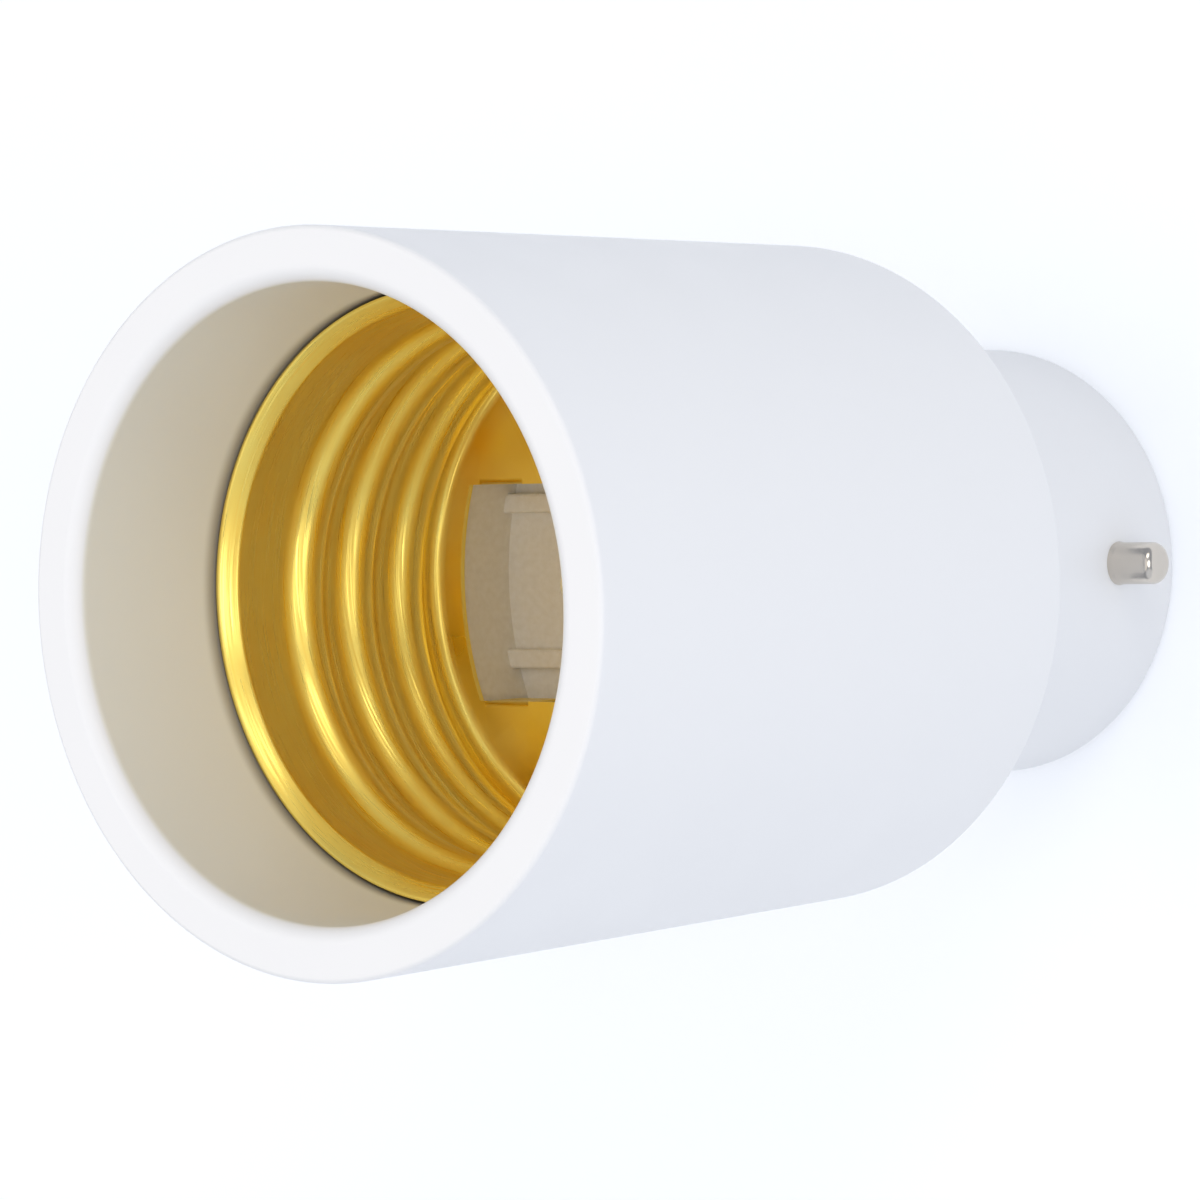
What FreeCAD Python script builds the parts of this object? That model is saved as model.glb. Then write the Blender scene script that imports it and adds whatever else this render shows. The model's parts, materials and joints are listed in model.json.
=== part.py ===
import FreeCAD, Part
import math
import os
import Sketcher

from FreeCAD import Vector

# Lamp socket adapter: a bayonet cap below, a screw socket above. It stands on the cap's end face.
# Origin at the centre of that face, +Z along the axis to the mouth, +X through a bayonet pin. Millimetres.
SIZES = {
    # housing, one white moulding
    "lip_depth": 9.27,
    "lip_gap": 0.15,
    "bore_draft": 0.15,
    "mouth_wall": 2.5,
    "body_wall": 2.15,
    "mouth_round": 0.8,
    "outer_round": 0.2,
    "shoulder_wall": 2.4,
    "cap_diameter": 22.0,
    "cap_length": 18.2,
    "cap_wall": 2.0,
    "end_wall": 2.6,
    "end_round": 0.5,
    # bayonet pins
    "pin_diameter": 2.1,
    "pin_reach": 2.5,
    "pin_height": 5.3,
    "pin_depth": 4.0,
    "pin_round": 0.35,
    "pin_boss_wall": 1.45,
    # screw shell, rolled from sheet brass
    "sheet": 0.3,
    "root_diameter": 26.6,
    "thread_depth": 1.05,
    "thread_pitch": 3.63,
    "thread_foot": 0.825,
    "thread_neck": 3.115,
    "lip_round": 0.75,
    "base_round": 0.8,
    "window_rim": 1.76,
    "window_end_round": 16.4,
    "window_width": 10.6,
    "window_shift": 0.45,
    "tab_width": 2.75,
    "tab_inset": 0.3,
    "tab_length": 2.4,
    "tail_place": 2.5,
    "tail_width": 2.0,
    "tail_reach": 1.9,
    # contact carrier, a moulded insert under the shell
    "core_height": 3.3,
    "pocket_floor": 2.0,
    "pocket_wall": 3.5,
    "carrier_wall": 2.4,
    "carrier_boss_wall": 1.2,
    "rib_width": 0.95,
    "rib_height": 0.7,
    "rib_inset": 1.0,
    # screws through the shell and the carrier into the housing
    "screw_margin": 1.85,
    "screw_diameter": 2.6,
    "screw_head_diameter": 4.4,
    "screw_head_height": 1.5,
    "screw_grip": 6.2,
    "screw_slot": 0.7,
    "screw_boss_wall": 0.9,
    "screw_boss_floor": 2.1,
    # centre contact, a spring leaf with a riveted button
    "leaf_sheet": 0.3,
    "leaf_width": 4.6,
    "leaf_nose_width": 2.2,
    "leaf_end": 1.9,
    "leaf_foot": 1.8,
    "leaf_crown": 1.6,
    "leaf_tip": 3.1,
    "leaf_rise": 6.4,
    "leaf_bend_round": 0.8,
    "rivet_inset": 3.44,
    "rivet_diameter": 1.8,
    "rivet_head_diameter": 3.0,
    "rivet_head_height": 0.7,
    "button_diameter": 2.6,
    "button_height": 0.8,
    "button_shank": 1.2,
    "button_play": 0.05,
    # contacts in the end of the cap, and the leads to them
    "end_contact_place": 5.0,
    "end_contact_diameter": 6.4,
    "end_contact_head": 0.8,
    "end_contact_shank": 2.6,
    "solder_tail": 2.4,
    "solder_tail_diameter": 1.6,
    "clench": 0.4,
    "lead_diameter": 1.4,
    "lead_straight": 2.6,
    # fits, and how far a cut runs on past a face
    "snug": 0.01,
    "free": 0.1,
    "screw_clearance": 0.2,
    "overrun": 1.0,
}
CREST_COUNT = 3
# The radius of a lead's bends as a share of the height that both bends go up through together.
BEND_SHARE = 0.43
# How close an edge lies to where a fillet looks for it, and the least volume that a cut or a pad changes.
TOUCH = 1e-3


class Size:
    """A length together with the sheet formula that gives it."""

    def __init__(self, value, formula):
        self.value = float(value)
        self.formula = formula

    def __float__(self):
        return self.value

    def __add__(self, other):
        other = size_of(other)
        return Size(self.value + other.value, f"({self.formula} + {other.formula})")

    def __sub__(self, other):
        other = size_of(other)
        return Size(self.value - other.value, f"({self.formula} - {other.formula})")

    def __mul__(self, other):
        other = size_of(other)
        return Size(self.value * other.value, f"({self.formula} * {other.formula})")

    def __truediv__(self, other):
        other = size_of(other)
        return Size(self.value / other.value, f"({self.formula} / {other.formula})")

    def __radd__(self, other):
        return size_of(other) + self

    def __rsub__(self, other):
        return size_of(other) - self

    def __rmul__(self, other):
        return size_of(other) * self

    def __neg__(self):
        return size_of(0) - self


def size_of(number):
    return number if isinstance(number, Size) else Size(number, repr(float(number)))


def root_of(size):
    return Size(math.sqrt(size.value), f"sqrt({size.formula})")


def angle_of(rise, run):
    """The direction of a rise over a run, in degrees."""
    degrees = math.degrees(math.atan2(float(rise), float(run)))
    return Size(degrees, f"atan2({size_of(rise).formula}; {size_of(run).formula})")


doc = FreeCAD.newDocument("socket_adapter")
sheet = doc.addObject("Spreadsheet::Sheet", "Sizes")
for row, (word, number) in enumerate(SIZES.items(), start=1):
    sheet.set(f"A{row}", word)
    sheet.set(f"B{row}", str(number))
    sheet.setAlias(f"B{row}", word)
doc.recompute()
S = {word: Size(number, f"Sizes.{word}") for word, number in SIZES.items()}

# Heights that several pieces share, stacked up from the end of the cap.
BORE_FLOOR = S["cap_length"] + S["shoulder_wall"]
POCKET_UNDER = BORE_FLOOR + S["core_height"]
POCKET_FLOOR = POCKET_UNDER + S["pocket_floor"]
BASE_UNDER = POCKET_FLOOR + S["pocket_wall"]
BASE_TOP = BASE_UNDER + S["sheet"]
LAST_ROOT = BASE_TOP + S["thread_foot"]
FIRST_ROOT = LAST_ROOT + S["thread_pitch"] * CREST_COUNT
LIP_TOP = FIRST_ROOT + S["thread_neck"]
TOP = LIP_TOP + S["lip_depth"]
CROWN = POCKET_FLOOR + S["leaf_rise"]
SCREW_END = BORE_FLOOR - S["screw_grip"]
TAIL_END = POCKET_UNDER - S["tail_reach"]
END_TAIL = S["end_wall"] + S["solder_tail"]

# Radii that several pieces share, from the thread outwards.
ROOT_R = S["root_diameter"] / 2
CREST_R = ROOT_R - S["thread_depth"]
BORE_R = ROOT_R + S["lip_round"] + S["lip_gap"]
BORE_FLOOR_R = BORE_R - S["bore_draft"]
CAP_R = S["cap_diameter"] / 2
CAP_BORE_R = CAP_R - S["cap_wall"]
PIN_TIP = CAP_R + S["pin_reach"]
PIN_FOOT = CAP_R - S["pin_depth"]

# Places beside the axis: the window's two long sides and its ends, and what lines up with them.
BACK_EDGE = S["window_width"] / 2 - S["window_shift"]
FRONT_EDGE = S["window_width"] / 2 + S["window_shift"]
WINDOW_END = ROOT_R - S["window_rim"]
RIB_PLACE = BACK_EDGE - S["rib_inset"]
SCREW_PLACE = (FRONT_EDGE + ROOT_R - S["screw_margin"]) / 2
RIVET_PLACE = WINDOW_END - S["rivet_inset"]
LEAF_ROOT = RIVET_PLACE + S["leaf_end"]
LEAF_BEND = RIVET_PLACE - S["leaf_foot"]


def bind(thing, place, size):
    thing.setExpression(place, size_of(size).formula)


def new_body(name):
    body = doc.addObject("PartDesign::Body", name)
    body.Label = name
    return body


def new_sketch(body, name, role, height=0):
    """An empty sketch on one of the body's own origin planes, moved along its normal."""
    plane = next(part for part in body.Origin.OriginFeatures if part.Role == role)
    sketch = body.newObject("Sketcher::SketchObject", name)
    sketch.AttachmentSupport = [(plane, "")]
    sketch.MapMode = "FlatFace"
    bind(sketch, "AttachmentOffset.Base.z", height)
    return sketch


def hold_point(sketch, geometry, point, x, y):
    """Hold one point of the sketch at x, y from the sketch's origin."""
    for kind, axis, size in (("DistanceX", -2, size_of(x)), ("DistanceY", -1, size_of(y))):
        if abs(size.value) < 1e-9:
            sketch.addConstraint(Sketcher.Constraint("PointOnObject", geometry, point, axis))
        else:
            held = sketch.addConstraint(Sketcher.Constraint(kind, -1, 1, geometry, point, size.value))
            bind(sketch, f"Constraints[{held}]", size)


def draw(sketch, outline, closed=True):
    """Draw an outline. Each entry is a corner (x, y), or (x, y, radius) where an arc leaves the corner
    for the next one, anticlockwise for a positive radius and clockwise for a negative one."""
    first = sketch.GeometryCount
    ends = []
    sides = list(zip(outline, outline[1:] + outline[:1]))[:None if closed else -1]
    for entry, after in sides:
        start = Vector(float(entry[0]), float(entry[1]), 0)
        end = Vector(float(after[0]), float(after[1]), 0)
        if len(entry) == 2:
            sketch.addGeometry(Part.LineSegment(start, end), False)
            ends.append((1, 2))
            continue
        radius = float(entry[2])
        chord = end - start
        middle = (start + end) / 2
        rise = math.sqrt(max(radius ** 2 - (chord.Length / 2) ** 2, 0))
        side = Vector(-chord.y, chord.x, 0).normalize() * math.copysign(rise, radius)
        centre = middle + side
        low, high = (start, end) if radius > 0 else (end, start)
        angles = [math.atan2(point.y - centre.y, point.x - centre.x) for point in (low, high)]
        circle = Part.Circle(centre, Vector(0, 0, 1), abs(radius))
        sketch.addGeometry(Part.ArcOfCircle(circle, angles[0], angles[1]), False)
        ends.append((1, 2) if radius > 0 else (2, 1))
    for index, (entry, end) in enumerate(sides):
        geometry = first + index
        hold_point(sketch, geometry, ends[index][0], entry[0], entry[1])
        if len(entry) == 3:
            size = size_of(entry[2]) if float(entry[2]) > 0 else -size_of(entry[2])
            held = sketch.addConstraint(Sketcher.Constraint("Radius", geometry, size.value))
            bind(sketch, f"Constraints[{held}]", size)
        if closed or index < len(sides) - 1:
            after = (index + 1) % len(sides)
            joined = (geometry, ends[index][1], first + after, ends[after][0])
            sketch.addConstraint(Sketcher.Constraint("Coincident", *joined))
        else:
            hold_point(sketch, geometry, ends[index][1], end[0], end[1])


def draw_circle(sketch, x, y, diameter):
    circle = Part.Circle(Vector(float(x), float(y), 0), Vector(0, 0, 1), float(diameter) / 2)
    index = sketch.addGeometry(circle, False)
    hold_point(sketch, index, 3, x, y)
    held = sketch.addConstraint(Sketcher.Constraint("Diameter", index, float(diameter)))
    bind(sketch, f"Constraints[{held}]", diameter)


def box_outline(low_x, high_x, low_y, high_y):
    return [(low_x, low_y), (high_x, low_y), (high_x, high_y), (low_x, high_y)]


def revolve(body, name, outline, axis="V_Axis", lift=0):
    """Turn a half section about the sketch's upright or level axis, lifted above the origin."""
    sketch = new_sketch(body, name + "_section", "XZ_Plane")
    bind(sketch, "AttachmentOffset.Base.y", lift)
    draw(sketch, outline)
    turned = body.newObject("PartDesign::Revolution", name)
    turned.Profile = sketch
    turned.ReferenceAxis = (sketch, [axis])
    turned.Angle = 360
    doc.recompute()
    return turned


def extrude(body, name, sketch, length, cut=False, back=False):
    """Pad or pocket a sketch. It goes along the sketch's normal, or the other way where back is set."""
    before = body.Shape.Volume if body.Tip else 0
    feature = body.newObject("PartDesign::Pocket" if cut else "PartDesign::Pad", name)
    feature.Profile = sketch
    feature.Type = "Length"
    bind(feature, "Length", length)
    feature.Reversed = back != cut
    doc.recompute()
    grown = body.Shape.Volume - before
    if (-grown if cut else grown) < TOUCH:
        raise RuntimeError(f"{body.Label}: {name} changed nothing")
    return feature


def circular_edges(shape, radius, height):
    """The names of the full circles of that radius about the axis at that height."""
    names = []
    for index, edge in enumerate(shape.Edges, start=1):
        curve = edge.Curve
        if not isinstance(curve, Part.Circle) or abs(curve.Radius - float(radius)) > TOUCH:
            continue
        centre = curve.Center
        if math.hypot(centre.x, centre.y) < TOUCH and abs(centre.z - float(height)) < TOUCH:
            names.append(f"Edge{index}")
    return names


def round_edges(body, name, radius, rings):
    """Fillet the body's edges that lie on the given rings of radius and height."""
    doc.recompute()
    base = body.Tip
    names = [edge for ring in rings for edge in circular_edges(base.Shape, ring[0], ring[1])]
    if len(names) != len(rings):
        raise RuntimeError(f"{body.Label}: {name} found {len(names)} edges")
    fillet = body.newObject("PartDesign::Fillet", name)
    fillet.Base = (base, names)
    bind(fillet, "Radius", radius)
    doc.recompute()
    return fillet


def window_reach(edge, grow):
    """How far from the middle the window's round end meets a long side, with the window grown all round."""
    radius = S["window_end_round"] + grow
    return WINDOW_END - S["window_end_round"] + root_of(radius * radius - edge * edge)


def window_outline(grow):
    """The window in the shell's base: straight long sides, and gently rounded ends."""
    radius = S["window_end_round"] + grow
    low = -FRONT_EDGE - grow
    high = BACK_EDGE + grow
    low_x = window_reach(low, grow)
    high_x = window_reach(high, grow)
    return [(-low_x, low), (low_x, low, radius), (high_x, high), (-high_x, high, radius)]


def tab_outlines(wide, thick):
    """The outlines of four tabs outside the window's long sides, each of a half width and a thickness."""
    outlines = []
    tab_place = window_reach(FRONT_EDGE, 0) - S["tab_inset"] - S["tab_width"] / 2
    for side, edge in ((1, BACK_EDGE), (-1, FRONT_EDGE)):
        low, high = sorted((edge * side, (edge + thick) * side), key=float)
        for place in (tab_place, -tab_place):
            outlines.append(box_outline(place - wide, place + wide, low, high))
    return outlines


def make_housing():
    body = new_body("housing")
    mouth_r = BORE_R + S["mouth_wall"]
    shoulder_r = BORE_FLOOR_R + S["body_wall"]
    revolve(body, "housing_wall", [
        (0, 0),
        (CAP_R, 0),
        (CAP_R, S["cap_length"]),
        (shoulder_r, S["cap_length"]),
        (mouth_r, TOP),
        (BORE_R, TOP),
        (BORE_R, LIP_TOP + S["free"]),
        (BORE_FLOOR_R, BORE_FLOOR),
        (CAP_BORE_R, BORE_FLOOR),
        (CAP_BORE_R, S["end_wall"]),
        (0, S["end_wall"]),
    ])
    round_edges(body, "outer_edges", S["outer_round"], [(mouth_r, TOP), (shoulder_r, S["cap_length"])])
    round_edges(body, "mouth_edge", S["mouth_round"], [(BORE_R, TOP)])
    round_edges(body, "cap_edge", S["end_round"], [(CAP_R, 0)])
    # A boss behind each pin. It ends inside the wall of the cap.
    boss_end = CAP_R - S["cap_wall"] / 2
    for side, name in ((1, "right"), (-1, "left")):
        sketch = new_sketch(body, f"pin_boss_{name}_circle", "YZ_Plane", PIN_FOOT * side)
        draw_circle(sketch, 0, S["pin_height"], S["pin_diameter"] + S["pin_boss_wall"] * 2)
        extrude(body, f"pin_boss_{name}", sketch, boss_end - PIN_FOOT, back=side < 0)
        sketch = new_sketch(body, f"pin_hole_{name}_circle", "YZ_Plane", PIN_FOOT * side)
        draw_circle(sketch, 0, S["pin_height"], S["pin_diameter"] + S["snug"] * 2)
        extrude(body, f"pin_hole_{name}", sketch, S["pin_depth"] + S["overrun"], cut=True, back=side < 0)
    # A boss for each fixing screw, inside the cap and joined to its wall, with its pilot hole.
    boss_r = S["screw_diameter"] / 2 + S["screw_boss_wall"]
    boss_back = root_of(boss_end * boss_end - boss_r * boss_r)
    for side, name in ((1, "back"), (-1, "front")):
        place = SCREW_PLACE * side
        sketch = new_sketch(body, f"screw_boss_{name}_edge", "XY_Plane", BORE_FLOOR)
        wide = boss_r * side
        draw(sketch, [
            (wide, place),
            (wide, boss_back * side),
            (-wide, boss_back * side),
            (-wide, place, boss_r),
            (0, place - wide, boss_r),
        ])
        depth = S["screw_grip"] + S["screw_clearance"]
        extrude(body, f"screw_boss_{name}", sketch, depth + S["screw_boss_floor"], back=True)
        sketch = new_sketch(body, f"screw_hole_{name}_circle", "XY_Plane", BORE_FLOOR)
        draw_circle(sketch, 0, place, S["screw_diameter"] + S["snug"] * 2)
        extrude(body, f"screw_hole_{name}", sketch, depth, cut=True, back=True)
        place = S["end_contact_place"] * side
        sketch = new_sketch(body, f"contact_seat_{name}_circle", "XY_Plane")
        draw_circle(sketch, 0, place, S["end_contact_diameter"] + S["snug"] * 2)
        extrude(body, f"contact_seat_{name}", sketch, S["end_contact_head"], cut=True)
        sketch = new_sketch(body, f"contact_hole_{name}_circle", "XY_Plane")
        draw_circle(sketch, 0, place, S["end_contact_shank"] + S["snug"] * 2)
        extrude(body, f"contact_hole_{name}", sketch, S["end_wall"] + S["overrun"], cut=True)
    return body


def make_pin(name, angle):
    """A plated steel pin, pressed into the cap along +X and turned to its side."""
    body = new_body(name)
    pin_r = S["pin_diameter"] / 2
    edge = S["pin_round"]
    revolve(body, name + "_turned", [
        (PIN_FOOT, 0),
        (PIN_TIP, 0),
        (PIN_TIP, pin_r - edge, edge),
        (PIN_TIP - edge, pin_r),
        (PIN_FOOT, pin_r),
    ], axis="H_Axis", lift=S["pin_height"])
    body.Placement = FreeCAD.Placement(Vector(0, 0, 0), FreeCAD.Rotation(Vector(0, 0, 1), angle))
    return body


def rolled_section():
    """Half section of the shell. Its thread is arcs of one radius inside, tangent to each other."""
    wall = S["sheet"]
    half = S["thread_pitch"] / 2
    depth = S["thread_depth"]
    wave = (half * half + depth * depth) / (depth * 4)
    outer_r = ROOT_R + wall
    corner = S["base_round"]
    lip = S["lip_round"]
    # A crest's arc meets a root's half way between them, and outside one sheet further along the normal.
    meet_r = CREST_R + depth / 2
    meet_outer_r = meet_r + wall * (wave * 2 - depth) / (wave * 2)
    meet_outer_z = half / 2 - wall * half / (wave * 2)
    crests = [FIRST_ROOT - half - S["thread_pitch"] * turn for turn in range(CREST_COUNT)]
    outline = [
        (ROOT_R + lip, LIP_TOP, lip),
        (ROOT_R, LIP_TOP - lip),
        (ROOT_R, FIRST_ROOT, -wave),
    ]
    for crest in crests:
        outline += [(meet_r, crest + half / 2, wave), (meet_r, crest - half / 2, -wave)]
    outline += [
        (ROOT_R, LAST_ROOT),
        (ROOT_R, BASE_TOP + corner, -corner),
        (ROOT_R - corner, BASE_TOP),
        (0, BASE_TOP),
        (0, BASE_UNDER),
        (ROOT_R - corner, BASE_UNDER, corner + wall),
        (outer_r, BASE_TOP + corner),
        (outer_r, LAST_ROOT, wave + wall),
    ]
    for crest in reversed(crests):
        outline += [
            (meet_outer_r, crest - meet_outer_z, wall - wave),
            (meet_outer_r, crest + meet_outer_z, wave + wall),
        ]
    outline += [
        (outer_r, FIRST_ROOT),
        (outer_r, LIP_TOP - lip, wall - lip),
        (ROOT_R + lip, LIP_TOP - wall),
    ]
    return outline


def make_shell():
    """The screw shell: rolled thread, flared lip, and a base with a window, locking tabs and a solder tail."""
    body = new_body("screw_shell")
    revolve(body, "rolled_sheet", rolled_section())
    sketch = new_sketch(body, "window_edge", "XY_Plane", BASE_TOP)
    draw(sketch, window_outline(0))
    extrude(body, "window", sketch, S["sheet"], cut=True, back=True)
    sketch = new_sketch(body, "shell_screw_circles", "XY_Plane", BASE_TOP)
    for side in (1, -1):
        draw_circle(sketch, 0, SCREW_PLACE * side, S["screw_diameter"] + S["screw_clearance"] * 2)
    extrude(body, "shell_screw_holes", sketch, S["sheet"], cut=True, back=True)
    sketch = new_sketch(body, "tab_sections", "XY_Plane", BASE_TOP)
    for outline in tab_outlines(S["tab_width"] / 2, S["sheet"]):
        draw(sketch, outline)
    extrude(body, "locking_tabs", sketch, S["tab_length"] + S["sheet"], back=True)
    sketch = new_sketch(body, "tail_section", "XY_Plane", BASE_TOP)
    half = S["tail_width"] / 2
    low = -FRONT_EDGE - S["sheet"]
    draw(sketch, box_outline(-S["tail_place"] - half, half - S["tail_place"], low, -FRONT_EDGE))
    extrude(body, "solder_tail", sketch, BASE_TOP - TAIL_END, back=True)
    return body


def make_carrier():
    """The moulded insert under the shell: a cored disc with the contact's pocket and its guide ribs."""
    body = new_body("contact_carrier")
    outer_r = BORE_FLOOR_R - S["free"]
    sketch = new_sketch(body, "carrier_circle", "XY_Plane", BORE_FLOOR)
    draw_circle(sketch, 0, 0, outer_r * 2)
    extrude(body, "carrier_disc", sketch, BASE_UNDER - BORE_FLOOR)
    sketch = new_sketch(body, "core_circle", "XY_Plane", BORE_FLOOR)
    draw_circle(sketch, 0, 0, (outer_r - S["carrier_wall"]) * 2)
    extrude(body, "core", sketch, POCKET_UNDER - BORE_FLOOR, cut=True)
    sketch = new_sketch(body, "carrier_boss_circles", "XY_Plane", BORE_FLOOR)
    for side in (1, -1):
        hole = S["screw_diameter"] + S["screw_clearance"] * 2
        draw_circle(sketch, 0, SCREW_PLACE * side, hole + S["carrier_boss_wall"] * 2)
    extrude(body, "carrier_bosses", sketch, POCKET_UNDER - BORE_FLOOR)
    sketch = new_sketch(body, "pocket_edge", "XY_Plane", BASE_UNDER)
    draw(sketch, window_outline(S["free"]))
    extrude(body, "pocket", sketch, BASE_UNDER - POCKET_FLOOR, cut=True, back=True)
    sketch = new_sketch(body, "rib_edges", "XY_Plane", POCKET_FLOOR)
    half = S["rib_width"] / 2
    for side in (1, -1):
        place = RIB_PLACE * side
        draw(sketch, box_outline(-WINDOW_END, WINDOW_END, place - half, place + half))
    extrude(body, "guide_ribs", sketch, S["rib_height"])
    # Slots that the shell's tabs go down into, and the way through for its solder tail.
    sketch = new_sketch(body, "tab_slot_edges", "XY_Plane", BASE_UNDER)
    for outline in tab_outlines(S["tab_width"] / 2 + S["screw_clearance"], S["sheet"] + S["free"] * 2):
        draw(sketch, outline)
    extrude(body, "tab_slots", sketch, S["tab_length"] + S["free"], cut=True, back=True)
    sketch = new_sketch(body, "tail_slot_edge", "XY_Plane", BASE_UNDER)
    half = S["tail_width"] / 2 + S["screw_clearance"]
    low = -FRONT_EDGE - S["sheet"] - S["free"] * 2
    draw(sketch, box_outline(-S["tail_place"] - half, half - S["tail_place"], low, -FRONT_EDGE))
    extrude(body, "tail_slot", sketch, BASE_UNDER - BORE_FLOOR, cut=True, back=True)
    sketch = new_sketch(body, "carrier_screw_circles", "XY_Plane", BASE_UNDER)
    for side in (1, -1):
        draw_circle(sketch, 0, SCREW_PLACE * side, S["screw_diameter"] + S["screw_clearance"] * 2)
    extrude(body, "carrier_screw_holes", sketch, BASE_UNDER - BORE_FLOOR, cut=True, back=True)
    sketch = new_sketch(body, "rivet_hole_circle", "XY_Plane", POCKET_FLOOR)
    draw_circle(sketch, RIVET_PLACE, 0, S["rivet_diameter"] + S["snug"] * 2)
    extrude(body, "rivet_hole", sketch, S["pocket_floor"], cut=True, back=True)
    return body


def tangent(along, aside, gap):
    """Sine and cosine of the turn of a line that is tangent to two bends, one on each side of it. The bends'
    centres are along and aside from each other, and their radii add up to the gap."""
    far = along * along + aside * aside
    reach = root_of(far - gap * gap)
    return (along * gap + aside * reach) / far, (along * reach - aside * gap) / far


def make_leaf():
    """The centre contact: flat on the pocket's floor, up a slope, and level again at its rounded nose."""
    body = new_body("contact_leaf")
    wall = S["leaf_sheet"]
    bend = S["leaf_bend_round"]
    # Centres of the bend at the root and of the bend at the crown, and the normal of the slope between them.
    low_x, low_z = LEAF_BEND, POCKET_FLOOR + wall + bend
    high_x, high_z = S["leaf_crown"], CROWN - wall - bend
    sine, cosine = tangent(low_x - high_x, high_z - low_z, bend * 2 + wall)
    sketch = new_sketch(body, "leaf_side", "XZ_Plane", -S["leaf_width"] / 2)
    draw(sketch, [
        (LEAF_ROOT, POCKET_FLOOR),
        (low_x, POCKET_FLOOR, -bend - wall),
        (low_x - (bend + wall) * sine, low_z - (bend + wall) * cosine),
        (high_x + bend * sine, high_z + bend * cosine, bend),
        (high_x, CROWN - wall),
        (-S["leaf_tip"], CROWN - wall),
        (-S["leaf_tip"], CROWN),
        (high_x, CROWN, -bend - wall),
        (high_x + (bend + wall) * sine, high_z + (bend + wall) * cosine),
        (low_x - bend * sine, low_z - bend * cosine, bend),
        (low_x, POCKET_FLOOR + wall),
        (LEAF_ROOT, POCKET_FLOOR + wall),
    ])
    extrude(body, "leaf_strip", sketch, S["leaf_width"])
    # Each long side is trimmed from the foot of the slope to a round nose.
    nose_r = S["leaf_nose_width"] / 2
    for side, name in ((1, "back"), (-1, "front")):
        wide = S["leaf_width"] * side
        sketch = new_sketch(body, f"leaf_{name}_trim_edge", "XY_Plane")
        draw(sketch, [
            (LEAF_BEND, wide / 2),
            (nose_r - S["leaf_tip"], nose_r * side, nose_r * side),
            (-S["leaf_tip"], 0),
            (-S["leaf_tip"], wide),
            (LEAF_BEND, wide),
        ])
        extrude(body, f"leaf_{name}_trim", sketch, CROWN + S["overrun"], cut=True)
    sketch = new_sketch(body, "leaf_rivet_circle", "XY_Plane", POCKET_FLOOR)
    draw_circle(sketch, RIVET_PLACE, 0, S["rivet_diameter"] + S["snug"] * 2)
    extrude(body, "leaf_rivet_hole", sketch, wall, cut=True)
    sketch = new_sketch(body, "leaf_button_circle", "XY_Plane", CROWN)
    draw_circle(sketch, 0, 0, S["button_shank"] + S["button_play"] * 2)
    extrude(body, "leaf_button_hole", sketch, wall, cut=True, back=True)
    return body


def make_button():
    """The contact button: a domed head on the leaf, its shank through it, and the clench below."""
    body = new_body("contact_button")
    head_r = S["button_diameter"] / 2
    rise = S["button_height"]
    shank_r = S["button_shank"] / 2
    under = CROWN - S["leaf_sheet"]
    clench_r = shank_r + S["clench"]
    revolve(body, "button_turned", [
        (0, under - S["clench"]),
        (clench_r, under - S["clench"]),
        (clench_r, under),
        (shank_r, under),
        (shank_r, CROWN),
        (head_r, CROWN, (head_r * head_r + rise * rise) / (rise * 2)),
        (0, CROWN + rise),
    ])
    return body


def make_leaf_rivet():
    """The rivet that holds the leaf's root on the carrier, with the tail that its lead is soldered to."""
    body = new_body("leaf_rivet")
    head_r = S["rivet_head_diameter"] / 2
    shank_r = S["rivet_diameter"] / 2
    tail_r = S["solder_tail_diameter"] / 2
    seat = POCKET_FLOOR + S["leaf_sheet"]
    edge = S["rivet_head_height"] / 2
    revolve(body, "leaf_rivet_turned", [
        (0, POCKET_UNDER - S["solder_tail"]),
        (tail_r, POCKET_UNDER - S["solder_tail"]),
        (tail_r, POCKET_UNDER - S["clench"]),
        (head_r, POCKET_UNDER - S["clench"]),
        (head_r, POCKET_UNDER),
        (shank_r, POCKET_UNDER),
        (shank_r, seat),
        (head_r, seat),
        (head_r, seat + edge, edge),
        (head_r - edge, seat + edge * 2),
        (0, seat + edge * 2),
    ])
    bind(body, "Placement.Base.x", RIVET_PLACE)
    return body


def make_end_contact(name, side):
    """A contact of the cap: a flat head let into the end face, riveted through the wall to a solder tail."""
    body = new_body(name)
    head_r = S["end_contact_diameter"] / 2
    shank_r = S["end_contact_shank"] / 2
    tail_r = S["solder_tail_diameter"] / 2
    inside = S["end_wall"] + S["clench"]
    revolve(body, name + "_turned", [
        (0, 0),
        (head_r, 0),
        (head_r, S["end_contact_head"]),
        (shank_r, S["end_contact_head"]),
        (shank_r, S["end_wall"]),
        (shank_r + S["clench"], S["end_wall"]),
        (shank_r + S["clench"], inside),
        (tail_r, inside),
        (tail_r, END_TAIL),
        (0, END_TAIL),
    ])
    bind(body, "Placement.Base.y", S["end_contact_place"] * side)
    return body


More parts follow.
